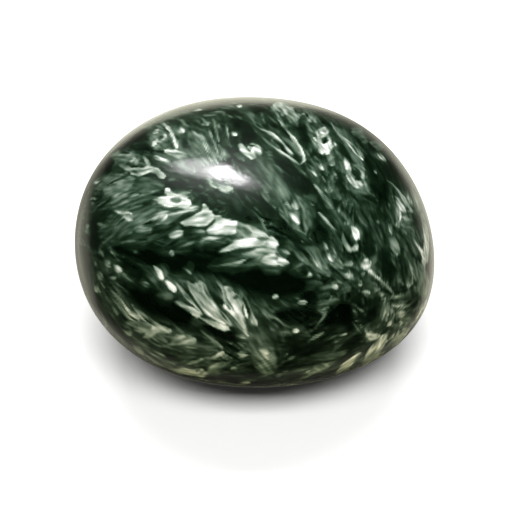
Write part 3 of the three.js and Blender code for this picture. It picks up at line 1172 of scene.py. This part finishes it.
# The softbox, high behind the stone and to its left: azimuth and elevation of its ends and of its core, then
# each glow's half length and half width in degrees, and its strength
SOFTBOX_ENDS = ((123, 43), (84, 71))
SOFTBOX_CORE = (103.5, 62.8)
CORE_GLOW = (10.5, 5.5, 19.0)
SHEET_GLOW = (23, 8, 10.0)
HAZE_GLOW = (34, 20, 0.75)

# The pale surface that the stone's edges mirror: azimuth and elevation of the middle of each glow, the
# angles from it where the glow starts and ends to fade, and its strength
EDGE_GLOWS = (
    (90, -40, 26, 50, 0.38),
    (96, -14, 8, 20, 0.72),
    (142, -26, 8, 20, 0.42),
    (52, -28, 10, 24, 0.42),
    (90, -84, 20, 52, 0.20),
)
EDGE_TINT = (1.0, 0.98, 0.80)

# The stone's own shadow on that surface, and how the surface fades towards the camera, by its place along Y
MIRRORED_SHADOW = (85, -68, 10, 34, 0.92)
MIRRORED_FADE = (-0.30, 0.05)

# How bright the sky is where it lights a matt surface, and where the camera sees it
SKY_ON_SURFACES = 0.20
SKY_SEEN = 1.2

# The strip lights in front of the stone and behind it: azimuth, elevation and power in watts, then how far
# away they are and how large, in metres
STRIP_LIGHTS = {"front_strip": (-90, 60, 17.5), "back_strip": (90, 68, 12.5)}
STRIP_DISTANCE = 0.9
STRIP_SIZES = (0.75, 0.30)


def make_floor():
    bpy.ops.mesh.primitive_circle_add(vertices=FLOOR_CORNERS, radius=FLOOR_RADIUS * MM, fill_type="NGON")
    floor = bpy.context.object
    floor.name = "floor"
    material, tree = new_material("pale_floor")
    below = tree.add("LightPath", {}, "Is Diffuse Ray")
    inputs = {"Factor": below, "A": FLOOR_SEEN, "B": FLOOR_BOUNCE}
    colour = tree.add("Mix", inputs, "Result", data_type="RGBA")
    tree.dress({**FLOOR_SURFACE, "Base Color": colour})
    floor.data.materials.append(material)
    floor.visible_glossy = False


class Surroundings(Tree):
    """The studio around the stone, as a sum of glows by direction."""

    def __init__(self, tree):
        super().__init__(tree)
        self.direction = self.add("TexCoord", {}, "Generated")

    def along(self, axis):
        return self.add("VectorMath", {0: self.direction, 1: axis}, "Value", operation="DOT_PRODUCT")

    def fade(self, value, start, end, strength):
        inputs = {"Value": value, "From Min": start, "From Max": end, "To Max": strength}
        return self.add("MapRange", inputs, "Result", interpolation_type="SMOOTHSTEP")

    def glow(self, middle, across, half_length, half_width, strength):
        """A soft oval glow. Its length lies along the direction called across, and sizes are in degrees."""
        side = unit(np.cross(middle, across))
        squares = []
        for axis, half in ((unit(np.cross(side, middle)), half_length), (side, half_width)):
            share = self.math("DIVIDE", self.along(axis), math.sin(math.radians(half)))
            squares.append(self.math("POWER", self.math("ABSOLUTE", share), 2.0))
        in_front = self.math("GREATER_THAN", self.along(middle), 0.0)
        return self.math("MULTIPLY", self.fade(self.total(squares), 1.0, 0.0, strength), in_front)

    def round_glow(self, azimuth, elevation, inner, outer, strength):
        """A round glow that is even out to its inner angle and ends at its outer one."""
        nearness = self.along(direction_of(azimuth, elevation))
        return self.fade(nearness, math.cos(math.radians(outer)), math.cos(math.radians(inner)), strength)

    def tinted(self, value, tint):
        return self.add("VectorMath", {0: tint, "Scale": value}, "Vector", operation="SCALE")


def make_world():
    world = bpy.data.worlds.new("studio")
    bpy.context.scene.world = world
    world.use_nodes = True
    studio = Surroundings(world.node_tree)
    start, end = (direction_of(*place) for place in SOFTBOX_ENDS)
    middle, across = unit(start + end), end - start
    softbox = studio.total([
        studio.glow(direction_of(*SOFTBOX_CORE), across, *CORE_GLOW),
        studio.glow(middle, across, *SHEET_GLOW),
        studio.glow(middle, across, *HAZE_GLOW),
    ])
    edges = studio.total([studio.round_glow(*glow) for glow in EDGE_GLOWS])
    lit = studio.math("SUBTRACT", 1.0, studio.round_glow(*MIRRORED_SHADOW))
    away = studio.fade(studio.along((0, 1, 0)), *MIRRORED_FADE, 1.0)
    edges = studio.math("MULTIPLY", studio.math("MULTIPLY", edges, lit), away)
    ray_kind = studio.nodes.new("ShaderNodeLightPath").outputs
    plain = studio.total([
        studio.math("MULTIPLY", softbox, ray_kind["Is Glossy Ray"]),
        studio.math("MULTIPLY", ray_kind["Is Diffuse Ray"], SKY_ON_SURFACES),
        studio.math("MULTIPLY", ray_kind["Is Camera Ray"], SKY_SEEN),
    ])
    edges = studio.math("MULTIPLY", edges, ray_kind["Is Glossy Ray"])
    tints = {0: studio.tinted(plain, (1, 1, 1)), 1: studio.tinted(edges, EDGE_TINT)}
    colour = studio.add("VectorMath", tints, "Vector")
    studio.feed(studio.nodes["Background"].inputs["Color"], colour)


def make_strip_light(name, azimuth, elevation, power):
    light = bpy.data.lights.new(name, "AREA")
    light.shape = "RECTANGLE"
    light.size, light.size_y = STRIP_SIZES
    light.energy = power
    lamp = bpy.data.objects.new(name, light)
    towards = direction_of(azimuth, elevation)
    lamp.location = towards * STRIP_DISTANCE
    lamp.rotation_euler = Vector(towards).to_track_quat("Z", "Y").to_euler()
    lamp.visible_glossy = False
    lamp.visible_camera = False
    bpy.context.collection.objects.link(lamp)


stone, stone_mm, centre_mm = make_stone()
camera_mm = camera_place(centre_mm)
make_camera(camera_mm)
bpy.context.view_layer.update()

noise.seed_set(SEED)
painter = Painter(stone_mm)
fibre_flow = paint_markings(painter, PhotoRays(stone, camera_mm))
stone.data.attributes.new("silver", "FLOAT", "POINT").data.foreach_set(
    "value", np.clip(painter.silver, 0, 1).astype(np.float32))
stone.data.attributes.new("fibre_flow", "FLOAT_VECTOR", "POINT").data.foreach_set(
    "vector", fibre_flow.astype(np.float32).ravel())
stone.data.materials.append(stone_material())

make_floor()
make_world()
for name, place_and_power in STRIP_LIGHTS.items():
    make_strip_light(name, *place_and_power)
bpy.context.scene.view_settings.view_transform = "Standard"
